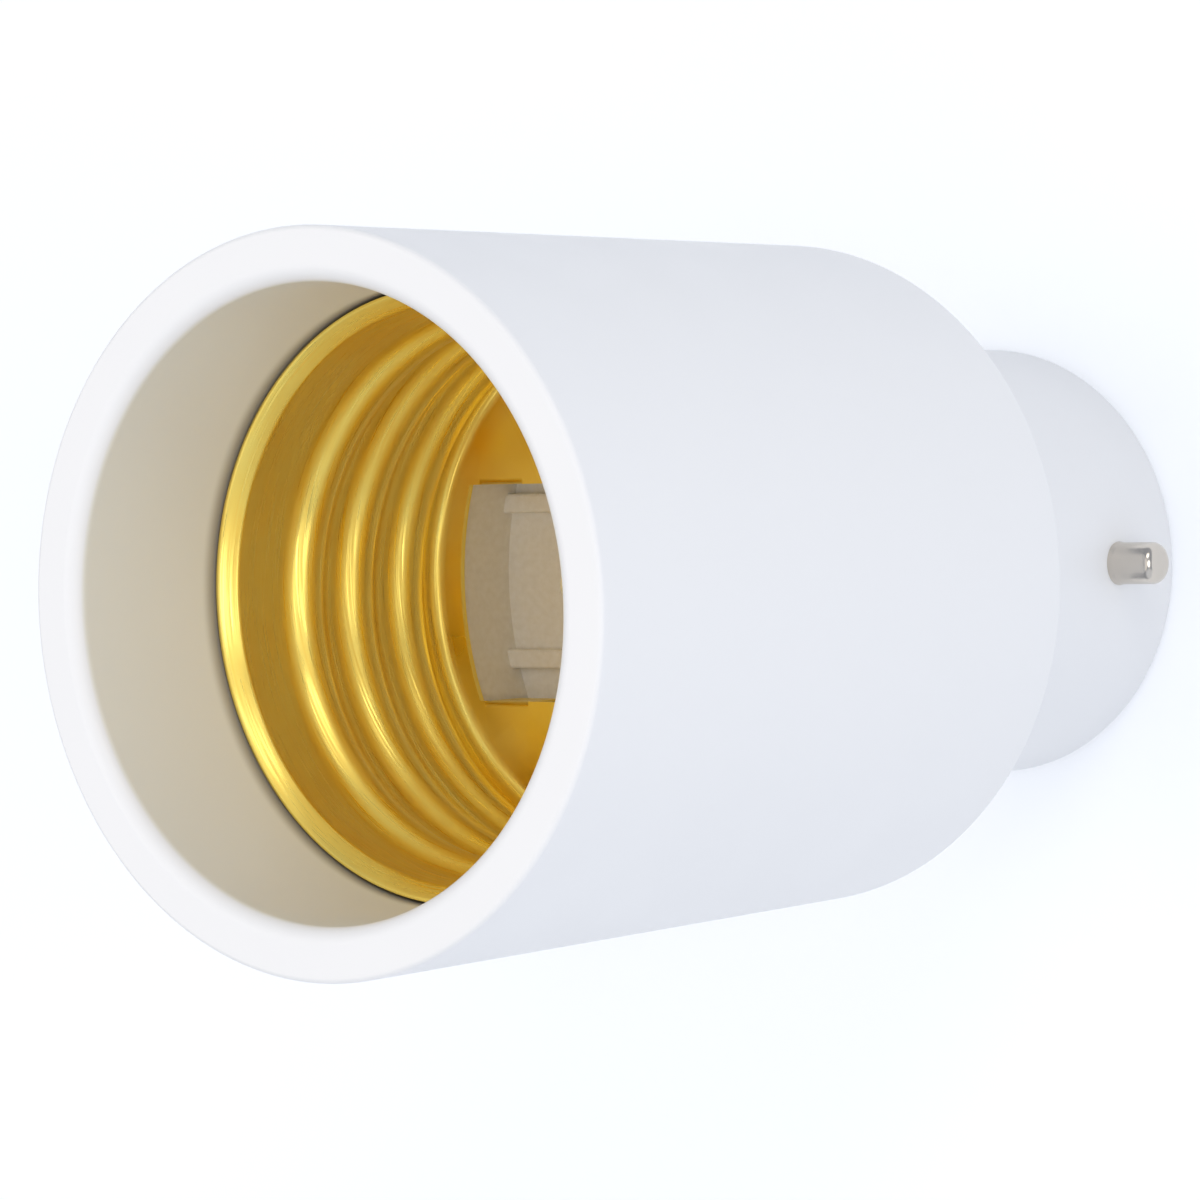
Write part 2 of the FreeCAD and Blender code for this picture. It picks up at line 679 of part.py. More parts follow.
def make_lead(name, side, start_x, start_y, start_z):
    """An insulated lead from an end contact's tail, up an S-bend in one upright plane, to its upper end."""
    body = new_body(name)
    foot_y = S["end_contact_place"] * side
    across = root_of(start_x * start_x + (start_y - foot_y) * (start_y - foot_y))
    low_z = END_TAIL + S["lead_straight"]
    high_z = BORE_FLOOR - S["lead_straight"]
    bend = (high_z - low_z) * BEND_SHARE
    sine, cosine = tangent(high_z - low_z, across - bend * 2, bend * 2)
    path = new_sketch(body, name + "_path", "XZ_Plane")
    corners = [
        (0, END_TAIL),
        (0, low_z, -bend),
        (bend - bend * cosine, low_z + bend * sine),
        (across - bend + bend * cosine, high_z - bend * sine, bend),
        (across, high_z),
        (across, start_z),
    ]
    draw(path, corners, closed=False)
    circle = new_sketch(body, name + "_circle", "XY_Plane", END_TAIL)
    draw_circle(circle, 0, 0, S["lead_diameter"])
    pipe = body.newObject("PartDesign::AdditivePipe", name + "_pipe")
    pipe.Profile = circle
    pipe.Spine = (path, [f"Edge{number}" for number in range(1, len(corners))])
    doc.recompute()
    length = sum(edge.Length for edge in path.Shape.Edges)
    area = math.pi * float(S["lead_diameter"]) ** 2 / 4
    print(name, "volume over section times length", round(body.Shape.Volume / (area * length), 4))
    angle = math.degrees(math.atan2(float(start_y - foot_y), float(start_x)))
    body.Placement = FreeCAD.Placement(Vector(0, float(foot_y), 0), FreeCAD.Rotation(Vector(0, 0, 1), angle))
    bind(body, "Placement.Base.y", foot_y)
    bind(body, "Placement.Rotation.Angle", angle_of(start_y - foot_y, start_x))
    return body


def make_fixing_screw(name, side):
    """A pan head screw through the shell and the carrier into a boss of the housing."""
    body = new_body(name)
    head_r = S["screw_head_diameter"] / 2
    shank_r = S["screw_diameter"] / 2
    edge = S["screw_head_height"] / 2
    head_top = BASE_TOP + S["screw_head_height"]
    revolve(body, name + "_turned", [
        (0, SCREW_END),
        (shank_r, SCREW_END + shank_r),
        (shank_r, BASE_TOP),
        (head_r, BASE_TOP),
        (head_r, head_top - edge, edge),
        (head_r - edge, head_top),
        (0, head_top),
    ])
    slot = new_sketch(body, name + "_slot_edge", "XY_Plane", head_top)
    half = S["screw_slot"] / 2
    draw(slot, box_outline(-head_r, head_r, -half, half))
    extrude(body, name + "_slot", slot, edge, cut=True, back=True)
    bind(body, "Placement.Base.y", SCREW_PLACE * side)
    return body


def export():
    """Check every object and write each piece to its own file."""
    doc.recompute()
    for thing in doc.Objects:
        if any(word in ("Invalid", "Error") for word in thing.State):
            raise RuntimeError(f"{thing.Label} failed: {thing.State}")
    os.makedirs("parts", exist_ok=True)
    for thing in pieces:
        if thing.Shape.isNull() or not thing.Shape.isValid():
            raise RuntimeError(f"{thing.Label} has no valid shape")
        thing.Shape.exportStep(f"parts/{thing.Label}.step")
        print(thing.Label, round(thing.Shape.Volume, 1), len(thing.Shape.Solids))


pieces = [
    make_housing(),
    make_pin("bayonet_pin_right", 0),
    make_pin("bayonet_pin_left", 180),
    make_shell(),
    make_carrier(),
    make_leaf(),
    make_button(),
    make_leaf_rivet(),
    make_fixing_screw("fixing_screw_back", 1),
    make_fixing_screw("fixing_screw_front", -1),
    make_end_contact("end_contact_back", 1),
    make_end_contact("end_contact_front", -1),
    make_lead("centre_lead", 1, RIVET_PLACE, size_of(0), POCKET_UNDER - S["solder_tail"]),
    make_lead("shell_lead", -1, -S["tail_place"], -FRONT_EDGE - S["sheet"] / 2, TAIL_END),
]
export()
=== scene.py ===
import json
import math

import bmesh
import bpy
from mathutils import Matrix, Vector


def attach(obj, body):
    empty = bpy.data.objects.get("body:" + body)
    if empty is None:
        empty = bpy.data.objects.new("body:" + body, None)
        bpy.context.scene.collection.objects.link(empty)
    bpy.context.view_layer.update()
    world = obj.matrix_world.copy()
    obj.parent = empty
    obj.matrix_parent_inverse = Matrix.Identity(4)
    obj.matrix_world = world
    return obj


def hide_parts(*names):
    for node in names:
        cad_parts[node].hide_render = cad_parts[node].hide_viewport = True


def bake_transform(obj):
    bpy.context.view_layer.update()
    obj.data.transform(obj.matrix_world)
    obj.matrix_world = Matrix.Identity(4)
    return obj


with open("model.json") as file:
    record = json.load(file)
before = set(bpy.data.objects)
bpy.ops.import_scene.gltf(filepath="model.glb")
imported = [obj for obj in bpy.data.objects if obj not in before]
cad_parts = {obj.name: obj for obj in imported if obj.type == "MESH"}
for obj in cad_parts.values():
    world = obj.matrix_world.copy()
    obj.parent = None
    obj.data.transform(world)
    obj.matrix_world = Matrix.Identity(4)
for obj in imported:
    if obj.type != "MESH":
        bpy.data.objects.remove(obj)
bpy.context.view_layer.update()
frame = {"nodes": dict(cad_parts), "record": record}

# The adapter stands on its bayonet cap. +Z runs up to the mouth, and +X through a bayonet pin.
MM = 0.001
FULL_TURN = 2 * math.pi

# Points nearer than this many metres count as one place, and in a merge as one point.
SAME_PLACE = 1e-6
MERGED = 1e-7

# How finely round shapes are divided, and the angle under which two faces count as one flat face.
TURN_STEPS = 256
SMALL_TURN_STEPS = 96
HOLE_STEPS = 48
ARC_STEP = math.radians(12)
FLAT = math.radians(0.5)

# All sizes from here on are in millimetres. A cutting shape runs past the face that it cuts by the overrun.
OVERRUN = 1

# The small rounds of turned and of clenched edges.
EDGE_ROUND = 0.15
CLENCH_ROUND = 0.12

# Housing.
TOP = 53.8
MOUTH_R = 16.7
SHOULDER_R = 16.2
BORE_R = 14.2
BORE_FLOOR_R = 14.05
BORE_FLOOR = 20.6
MOUTH_ROUND = 0.8
RIM_ROUND = 0.25
SHOULDER_ROUND = 0.35
NECK_ROUND = 0.25
DRAFT_ABOVE_LIP = 0.1
CAP_R = 11.0
CAP_LENGTH = 18.2
CAP_BORE_R = 9.0
CAP_END_ROUND = 0.5
END_WALL = 2.6
BOSS_REACH = 9.755

# The painted warm bounce light from the brass on the bore's wall: where it starts and its ramp at the mouth's
# edge; and the height of the painted shade over the lip.
PAINTED_BRASS_BOUNCE_START = CAP_LENGTH + 1
PAINTED_BRASS_BOUNCE_RAMP = (BORE_R + 0.01, BORE_R + 0.07)
PAINTED_LIP_SHADE = 0.9

# Bayonet pins, and the bosses behind them. A pin is upset a little where it leaves the cap.
PIN_HEIGHT = 5.3
PIN_R = 1.05
PIN_FOOT = 7.0
PIN_TIP = 13.5
PIN_TIP_ROUND = 0.5
PIN_UPSET = 0.05
PIN_UPSET_START = CAP_R - 0.1
PIN_UPSET_TOP = CAP_R + 0.02
PIN_UPSET_END = CAP_R + 0.3
PIN_UPSET_ROUND = 0.03
PIN_UPSET_FADE = 0.4
PIN_BOSS_R = 2.5
PIN_BOSS_END = 10.0

# Screw shell, of one sheet. The thread's crests stand inwards from its root.
SHEET = 0.3
BASE_TOP = 29.7
BASE_ROUND = 0.8
BASE_ROUND_STEPS = 5
LIP_TOP = 44.53
LIP_FLARE = 0.75
LIP_LAND = 0.15
LIP_TOP_ROUND = 0.2
LIP_FOOT_ROUND = 0.25
ROOT_R = 13.3
THREAD_DEPTH = 0.85
PITCH = 3.63
CREST_ROUND = 1.08
FIRST_CREST = 39.2
# A crest whose height is in one of these ranges is part way between no depth and its full depth.
NECK_FADE = (42.0, 40.4)
BASE_FADE = (29.8, 31.2)
WALL_FADE = 0.7
SHELL_STEPS = 288
SHELL_ROWS = 112
WINDOW_END = 11.54
WINDOW_END_R = 16.4
WINDOW_FRONT = 5.75
WINDOW_BACK = 4.85
WINDOW_END_STEPS = 24
TAB_INSET = 0.3
TAB_WIDTH = 2.75
TAB_TIP = 27.0
TAIL_PLACE = 2.5
TAIL_WIDTH = 2.0
TAIL_TIP = 22.0
FOLD = 0.35
FOLD_STEPS = 6

# Screws through the shell, each with a boss in the cap.
SCREW_PLACE = 8.6
SCREW_R = 1.3
SCREW_HOLE_R = 1.5
SCREW_HEAD_R = 2.2
SCREW_HEAD_TOP = 31.2
SCREW_HEAD_ROUND = 0.7
SCREW_END = 14.4
SCREW_SLOT = 0.7
SCREW_SLOT_DEPTH = 0.75
SCREW_BOSS_R = 2.2
SCREW_BOSS_END = 12.1
SCREW_HOLE_END = 14.2

# Centre contact: a leaf that is riveted at its root, with a button near its nose.
POCKET_FLOOR = 25.9
POCKET_UNDER = 23.9
RIB_TOP = 26.6
RIB_ROUND = 0.16
LEAF_SHEET = 0.3
LEAF_HALF_WIDTH = 2.3
LEAF_NOSE_R = 1.1
LEAF_ROOT = 10.0
LEAF_TAPER = 6.3
LEAF_FOOT = 5.76
LEAF_CROWN = 2.14
LEAF_TIP = -3.1
LEAF_BEND = 0.95
LEAF_STEP = 0.3
LEAF_ROWS = 8
LEAF_NOSE_STEPS = 8
CROWN = 32.3
BUTTON_R = 1.3
BUTTON_HEIGHT = 0.8
BUTTON_SHANK_R = 0.6
BUTTON_CLENCH_R = 1.0
DOME_STEPS = 12
RIVET_PLACE = 8.1
RIVET_R = 1.5
RIVET_SHANK_R = 0.9
RIVET_HEAD = 0.7
RIVET_HEAD_ROUND = 0.4
RIVET_TAIL_R = 0.8
RIVET_TAIL = 21.5

# Contacts in the end of the cap.
END_CONTACT_PLACE = 5.0
END_CONTACT_R = 3.2
END_CONTACT_HEAD = 0.8
END_CONTACT_SHANK_R = 1.3
END_CONTACT_TAIL_R = 0.8
END_CONTACT_TAIL = 5.0
CLENCH = 0.4

# Floor and camera.
FLOOR_REACH = 1500
FLOOR_GLOW = 0.3
CAMERA_PLACE = (147.79, 7.22, 216.69)
CAMERA_BACK = (0.62685, 0.03337, 0.77842)
CAMERA_UP = (0, 0.99908, -0.04284)


def mm(*numbers):
    """Millimetres as a vector in metres."""
    return Vector(numbers) * MM


def linear(hex_colour):
    """An sRGB hex colour as the linear colour that a shader takes."""
    channels = [int(hex_colour[start:start + 2], 16) / 255 for start in (1, 3, 5)]
    turned = [c / 12.92 if c <= 0.04045 else ((c + 0.055) / 1.055) ** 2.4 for c in channels]
    return (*turned, 1.0)


def add_node(tree, kind, settings=None, links=None):
    """Add a node, set its properties and sockets by name, and link its sockets to other nodes' outputs."""
    node = tree.nodes.new(kind)
    for name, value in (settings or {}).items():
        if isinstance(name, int) or name in node.inputs:
            node.inputs[name].default_value = value
        else:
            setattr(node, name, value)
    for name, output in (links or {}).items():
        tree.links.new(output, node.inputs[name])
    return node


def new_material(name, colour, roughness, metallic=0.0):
    """A material with one surface shader, and that shader and its node tree for more nodes."""
    material = bpy.data.materials.new(name)
    material.use_nodes = True
    tree = material.node_tree
    shader = tree.nodes["Principled BSDF"]
    shader.inputs["Base Color"].default_value = linear(colour)
    shader.inputs["Roughness"].default_value = roughness
    shader.inputs["Metallic"].default_value = metallic
    return material, tree, shader


def pattern(tree, lengths, detail=3.0):
    """Noise whose grain is that many millimetres long on X, Y and Z of the piece's own place."""
    where = add_node(tree, "ShaderNodeTexCoord")
    scaled = add_node(
        tree, "ShaderNodeMapping", {"Scale": [1 / (length * MM) for length in lengths]},
        {"Vector": where.outputs["Object"]},
    )
    noise = add_node(
        tree, "ShaderNodeTexNoise", {"Scale": 1.0, "Detail": detail}, {"Vector": scaled.outputs["Vector"]}
    )
    return noise.outputs["Fac"]


def spread(tree, value, low, high):
    """The middle of a noise's range, spread from a low value to a high one."""
    span = add_node(
        tree, "ShaderNodeMapRange", {"From Min": 0.3, "From Max": 0.7, "To Min": low, "To Max": high},
        {"Value": value},
    )
    return span.outputs["Result"]


def emboss(tree, shader, heights):
    """Bump the surface by each height in turn, given with its depth in millimetres and its strength."""
    normal = None
    for height, depth, strength in heights:
        bump = add_node(
            tree, "ShaderNodeBump", {"Strength": strength, "Distance": depth * MM}, {"Height": height}
        )
        if normal:
            tree.links.new(normal, bump.inputs["Normal"])
        normal = bump.outputs["Normal"]
    tree.links.new(normal, shader.inputs["Normal"])


def mix_colours(tree, share, first, second):
    """Mix two colours, each plain or a node's output, by a share from 0 to 1."""
    # Sockets 6 and 7 are the mix node's colours. Its sockets for plain values bear the same names.
    colours = {6: first, 7: second}
    plain = {socket: colour for socket, colour in colours.items() if isinstance(colour, tuple)}
    linked = {socket: colour for socket, colour in colours.items() if socket not in plain}
    mixed = add_node(tree, "ShaderNodeMix", {"data_type": "RGBA", **plain}, {0: share, **linked})
    return mixed.outputs[2]


def tint(tree, shader, share, first, second):
    """Colour the surface from one hex colour to another by a share from 0 to 1."""
    tree.links.new(mix_colours(tree, share, linear(first), linear(second)), shader.inputs["Base Color"])


def outside_bore(tree):
    """0 on the wall of the deep bore, 1 elsewhere on the housing, and a short ramp where the mouth's round
    starts."""
    where = add_node(tree, "ShaderNodeTexCoord")
    parts = add_node(tree, "ShaderNodeSeparateXYZ", None, {"Vector": where.outputs["Object"]})
    flat = add_node(
        tree, "ShaderNodeCombineXYZ", None, {"X": parts.outputs["X"], "Y": parts.outputs["Y"]}
    )
    radius = add_node(tree, "ShaderNodeVectorMath", {"operation": "LENGTH"}, {0: flat.outputs["Vector"]})
    beside = add_node(
        tree, "ShaderNodeMapRange", {"From Min": PAINTED_BRASS_BOUNCE_RAMP[0] * MM, "From Max": PAINTED_BRASS_BOUNCE_RAMP[1] * MM},
        {"Value": radius.outputs["Value"]},
    )
    below = add_node(
        tree, "ShaderNodeMath", {"operation": "LESS_THAN", 1: PAINTED_BRASS_BOUNCE_START * MM},
        {0: parts.outputs["Z"]},
    )
    either = add_node(
        tree, "ShaderNodeMath", {"operation": "MAXIMUM"},
        {0: beside.outputs["Result"], 1: below.outputs["Value"]},
    )
    return either.outputs["Value"]


def moulded_white():
    """Injection moulded PBT, satin white: a faint orange peel. The deep bore is painted a warmer ivory for
    the warm light that the brass throws on it, with a soft dark band of painted shade where the shell's lip
    meets it."""
    material, tree, shader = new_material("moulded_white_pbt", "#f9f9f9", 0.4)
    where = add_node(tree, "ShaderNodeTexCoord")
    parts = add_node(tree, "ShaderNodeSeparateXYZ", None, {"Vector": where.outputs["Object"]})
    # Painted shade: the bore darkens just over the shell's lip, and fades out upwards over this height.
    heights = {"From Min": LIP_TOP * MM, "From Max": (LIP_TOP + PAINTED_LIP_SHADE) * MM}
    above_lip = add_node(
        tree, "ShaderNodeMapRange", {"interpolation_type": "SMOOTHSTEP", **heights},
        {"Value": parts.outputs["Z"]},
    )
    painted_bore = mix_colours(tree, above_lip.outputs["Result"], linear("#a8a295"), linear("#f0efe5"))
    # The painted warm bounce light is kept off the rim, the mouth's round and the cap.
    skin = mix_colours(tree, outside_bore(tree), painted_bore, linear("#f9f9f9"))
    tree.links.new(skin, shader.inputs["Base Color"])
    tree.links.new(spread(tree, pattern(tree, (5, 5, 5)), 0.36, 0.46), shader.inputs["Roughness"])
    emboss(tree, shader, [
        (pattern(tree, (0.9, 0.9, 0.9)), 0.05, 0.06),
        (pattern(tree, (0.16, 0.16, 0.16)), 0.01, 0.05),
    ])
    return material


def rolled_brass():
    """Sheet brass, drawn and rolled: bright yellow, with fine lines round the thread from the rolls, in turn
    bright and matt."""
    material, tree, shader = new_material("rolled_brass", "#ffe273", 0.35, 1.0)
    tint(tree, shader, spread(tree, pattern(tree, (4, 4, 2)), 0, 1), "#ffe67a", "#ffde6c")
    tree.links.new(spread(tree, pattern(tree, (6, 6, 0.06)), 0.17, 0.64), shader.inputs["Roughness"])
    emboss(tree, shader, [(pattern(tree, (6, 6, 0.1), 4.0), 0.01, 0.12)])
    return material


def turned_brass():
    """Brass rod, turned and left bright, with faint tool marks."""
    material, tree, shader = new_material("turned_brass", "#e9c46a", 0.26, 1.0)
    tree.links.new(spread(tree, pattern(tree, (0.6, 0.6, 0.6)), 0.2, 0.32), shader.inputs["Roughness"])
    emboss(tree, shader, [(pattern(tree, (0.12, 0.12, 0.12)), 0.01, 0.08)])
    return material


def satin_nickel():
    """Nickel plate over brass, barrel polished: warm grey, with soft and slightly uneven reflections."""
    material, tree, shader = new_material("satin_nickel_plate", "#cfc8be", 0.2, 1.0)
    tree.links.new(spread(tree, pattern(tree, (0.8, 0.8, 0.8)), 0.16, 0.26), shader.inputs["Roughness"])
    emboss(tree, shader, [(pattern(tree, (0.25, 0.25, 0.25)), 0.01, 0.1)])
    return material


def zinc_steel():
    """Steel screws, bright zinc plated: cool grey with a fine crystal mottle."""
    material, tree, shader = new_material("zinc_plated_steel", "#bfc1c4", 0.3, 1.0)
    tint(tree, shader, spread(tree, pattern(tree, (0.5, 0.5, 0.5)), 0, 1), "#c6c7c9", "#b2b6bb")
    emboss(tree, shader, [(pattern(tree, (0.2, 0.2, 0.2)), 0.01, 0.1)])
    return material


def moulded_insert():
    """Moulded polyester insert, matt and slightly speckled: warm grey beige."""
    material, tree, shader = new_material("moulded_insert", "#eae6dc", 0.5)
    tint(tree, shader, spread(tree, pattern(tree, (0.35, 0.35, 0.35), 4.0), 0, 1), "#f4f1ea", "#ece8de")
    emboss(tree, shader, [(pattern(tree, (0.3, 0.3, 0.3)), 0.02, 0.15)])
    return material


def lead_insulation():
    """Extruded silicone insulation, matt, with a faint ripple along its length."""
    material, tree, shader = new_material("silicone_insulation", "#d9d6cf", 0.55)
    emboss(tree, shader, [(pattern(tree, (1, 1, 0.4)), 0.02, 0.1)])
    return material


MATERIALS = {
    "housing": moulded_white(),
    "carrier": moulded_insert(),
    "shell": rolled_brass(),
    "leaf": satin_nickel(),
    "button": turned_brass(),
    "screw": zinc_steel(),
    "pin": satin_nickel(),
    "end_contact": turned_brass(),
    "lead": lead_insulation(),
}


def rounded(outline):
    """The points of an open outline of (r, z) or (r, z, round) corners, with each round as a tangent arc."""
    points = []
    for index, corner in enumerate(outline):
        here = Vector(corner[:2])
        if len(corner) == 2:
            points.append(here)
            continue
        radius = corner[2]
        back = (Vector(outline[index - 1][:2]) - here).normalized()
        ahead = (Vector(outline[index + 1][:2]) - here).normalized()
        half = back.angle(ahead) / 2
        centre = here + (back + ahead).normalized() * (radius / math.sin(half))
        start = here + back * (radius / math.tan(half)) - centre
        end = here + ahead * (radius / math.tan(half)) - centre
        turn = start.angle_signed(end)
        steps = max(3, round(abs(turn) / ARC_STEP))
        for step in range(steps + 1):
            arc = start.copy()
            arc.rotate(Matrix.Rotation(-turn * step / steps, 2))
            points.append(centre + arc)
    return points


def as_mesh(name, bm):
    """Turn a bmesh into a mesh, and free it."""
    mesh = bpy.data.meshes.new(name)
    bm.to_mesh(mesh)
    bm.free()
    return mesh


def add_object(name, data):
    """Put a mesh, lamp or camera into the scene."""
    thing = bpy.data.objects.new(name, data)
    bpy.context.scene.collection.objects.link(thing)
    return thing


def finish_piece(name, bm, slot, body, node, angle=30):
    """Make an object of a bmesh in metres, smooth apart from its sharp edges, in place of its solid."""
    mesh = as_mesh(name, bm)
    mesh.shade_smooth()
    mesh.set_sharp_from_angle(angle=math.radians(angle))
    mesh.materials.append(MATERIALS[slot])
    piece = add_object(name, mesh)
    # Shading follows the large faces, so that a flat face stays flat beside a rounded edge.
    normals = piece.modifiers.new("normals", "WEIGHTED_NORMAL")
    normals.keep_sharp = True
    if body:
        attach(piece, body)
    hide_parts(node)
    return piece


def quarter_turn(steps):
    """The angles that divide a quarter turn evenly, without its start."""
    return [math.pi / 2 * step / steps for step in range(1, steps + 1)]


def spun(outline, steps=TURN_STEPS):
    """A bmesh of an (r, z) outline in millimetres, turned about the Z axis."""
    bm = bmesh.new()
    chain = [bm.verts.new(mm(r, 0, z)) for r, z in outline]
    edges = [bm.edges.new(pair) for pair in zip(chain, chain[1:])]
    bmesh.ops.spin(
        bm, geom=chain + edges, cent=(0, 0, 0), axis=(0, 0, 1), angle=FULL_TURN,
        steps=steps, use_merge=True,
    )
    bmesh.ops.remove_doubles(bm, verts=bm.verts, dist=MERGED)
    bmesh.ops.recalc_face_normals(bm, faces=bm.faces)
    return bm


def move(bm, matrix):
    """Turn or move a whole bmesh."""
    bmesh.ops.transform(bm, matrix=matrix, verts=bm.verts)
    return bm


def rod(radius, low, high):
    """A bmesh of a plain cylinder up the Z axis."""
    bm = bmesh.new()
    bmesh.ops.create_cone(
        bm, cap_ends=True, segments=SMALL_TURN_STEPS, radius1=radius * MM, radius2=radius * MM,
        depth=(high - low) * MM, matrix=Matrix.Translation(mm(0, 0, (low + high) / 2)),
    )
    return bm


def block(low, high):
    """A bmesh of a box between two corners in millimetres."""
    bm = bmesh.new()
    bmesh.ops.create_cube(bm, size=1)
    middle = Matrix.Translation((mm(*low) + mm(*high)) / 2)
    return move(bm, middle @ Matrix.Diagonal((*(mm(*high) - mm(*low)), 1)))


def shaped(bm, kind, settings, other=None):
    """A bmesh after one modifier, which may use a second bmesh."""
    sources = [source for source in (bm, other) if source is not None]
    things = [add_object("shaped", as_mesh("shaped", source)) for source in sources]
    modifier = things[0].modifiers.new("shape", kind)
    for name, value in settings.items():
        setattr(modifier, name, value)
    if other is not None:
        modifier.object = things[1]
    done = bmesh.new()
    done.from_object(things[0], bpy.context.evaluated_depsgraph_get())
    for thing in things:
        mesh = thing.data
        bpy.data.objects.remove(thing)
        bpy.data.meshes.remove(mesh)
    return done


def joined(bm, other):
    """One bmesh of two that overlap."""
    return shaped(bm, "BOOLEAN", {"operation": "UNION", "solver": "EXACT"}, other)


def cut(bm, other):
    """The first bmesh without the second."""
    return shaped(bm, "BOOLEAN", {"operation": "DIFFERENCE", "solver": "EXACT"}, other)


def make_housing():
    """One moulding: a tapered body with its deep bore, a shoulder, and the narrower bayonet cap."""
    bm = spun(rounded([
        (0, 0),
        (CAP_R, 0, CAP_END_ROUND),
        (CAP_R, CAP_LENGTH, NECK_ROUND),
        (SHOULDER_R, CAP_LENGTH, SHOULDER_ROUND),
        (MOUTH_R, TOP, RIM_ROUND),
        (BORE_R, TOP, MOUTH_ROUND),
        (BORE_R, LIP_TOP + DRAFT_ABOVE_LIP),
        (BORE_FLOOR_R, BORE_FLOOR),
        (CAP_BORE_R, BORE_FLOOR),
        (CAP_BORE_R, END_WALL),
        (0, END_WALL),
    ]))
    for side in (1, -1):
        # The pin's boss and hole lie along X, the rest along Z. A web joins each screw's boss to the wall.
        across = Matrix.Translation(mm(0, 0, PIN_HEIGHT)) @ Matrix.Rotation(side * math.pi / 2, 4, "Y")
        bm = joined(bm, move(rod(PIN_BOSS_R, PIN_FOOT, PIN_BOSS_END), across))
        bm = cut(bm, move(rod(PIN_R, PIN_FOOT - OVERRUN, PIN_TIP), across))
        place = Matrix.Translation(mm(0, SCREW_PLACE * side, 0))
        bm = joined(bm, move(rod(SCREW_BOSS_R, SCREW_BOSS_END, BORE_FLOOR), place))
        web = sorted((SCREW_PLACE * side, BOSS_REACH * side))
        low = (-SCREW_BOSS_R, web[0], SCREW_BOSS_END)
        bm = joined(bm, block(low, (SCREW_BOSS_R, web[1], BORE_FLOOR)))
        bm = cut(bm, move(rod(SCREW_R, SCREW_HOLE_END, BORE_FLOOR + OVERRUN), place))
        place = Matrix.Translation(mm(0, END_CONTACT_PLACE * side, 0))
        bm = cut(bm, move(rod(END_CONTACT_R, -OVERRUN, END_CONTACT_HEAD), place))
        bm = cut(bm, move(rod(END_CONTACT_SHANK_R, -OVERRUN, END_WALL + OVERRUN), place))
    finish_piece("moulded_housing", bm, "housing", "adapter", "housing")


def faded(height, none, full):
    """0 at one height and 1 at the other, with a smooth change between them."""
    share = min(1.0, max(0.0, (height - none) / (full - none)))
    return share * share * (3 - 2 * share)


def thread_radius(angle, height):
    """The inside of the rolled thread at a place: a right-hand helix of tangent arcs, tighter at its crests.
    Each crest sinks into the plain wall where the helix ends, at the neck and at the base."""
    half = PITCH / 2
    steepest = 2 * math.atan(THREAD_DEPTH / half)
    root_round = half / math.sin(steepest) - CREST_ROUND
    # The crests rise by one pitch a turn. The height of the first is the one on the -X side.
    lift = PITCH * (angle / FULL_TURN - 0.5)
    off = (height - FIRST_CREST - lift + half) % PITCH - half
    beside = abs(off)
    if beside < CREST_ROUND * math.sin(steepest):
        inward = THREAD_DEPTH - CREST_ROUND + math.sqrt(CREST_ROUND ** 2 - beside ** 2)
    else:
        inward = root_round - math.sqrt(root_round ** 2 - (half - beside) ** 2)
    crest = height - off
    inward *= faded(crest, *NECK_FADE) * faded(crest, *BASE_FADE)
    wall_foot = BASE_TOP + BASE_ROUND
    return ROOT_R - inward * faded(height, wall_foot, wall_foot + WALL_FADE)


def window_reach(edge):
    """How far from the middle the window's round ends meet a long side."""
    return WINDOW_END - WINDOW_END_R + math.sqrt(WINDOW_END_R ** 2 - edge ** 2)


def window_side(edge, folds):
    """One long side of the window, with a notch outside its edge for each fold, from low X to high X."""
    reach = window_reach(edge)
    out = math.copysign(FOLD, edge)
    points = [(-reach, edge)]
    for place, width in folds:
        low, high = place - width / 2, place + width / 2
        points += [(low, edge), (low, edge + out), (high, edge + out), (high, edge)]
    return points + [(reach, edge)]


def window_end(side):
    """The gently rounded end of the window, from its front to its back."""
    depth = WINDOW_FRONT + WINDOW_BACK
    places = [depth * step / WINDOW_END_STEPS - WINDOW_FRONT for step in range(1, WINDOW_END_STEPS)]
    return [(side * window_reach(place), place) for place in places]


def fold_down(bm, edge_y, place, tip):
    """Bend the sheet down at one notch of the window, and run it straight down to a tip."""
    out = math.copysign(FOLD, edge_y)
    chosen = [
        edge for edge in bm.edges
        if all(
            abs(vert.co.y - (edge_y + out) * MM) < SAME_PLACE
            and abs(vert.co.z - BASE_TOP * MM) < SAME_PLACE
            and abs(vert.co.x - place * MM) < TAB_WIDTH * MM
            for vert in edge.verts
        )
    ]
    steps = [(-out * math.sin(turn), FOLD * (math.cos(turn) - 1)) for turn in quarter_turn(FOLD_STEPS)]
    steps.append((-out, tip - BASE_TOP))
    done_y, done_z = 0, 0
    for step_y, step_z in steps:
        grown = bmesh.ops.extrude_edge_only(bm, edges=chosen)["geom"]
        verts = [item for item in grown if isinstance(item, bmesh.types.BMVert)]
        chosen = [item for item in grown if isinstance(item, bmesh.types.BMEdge)]
        bmesh.ops.translate(bm, vec=mm(0, step_y - done_y, step_z - done_z), verts=verts)
        done_y, done_z = step_y, step_z


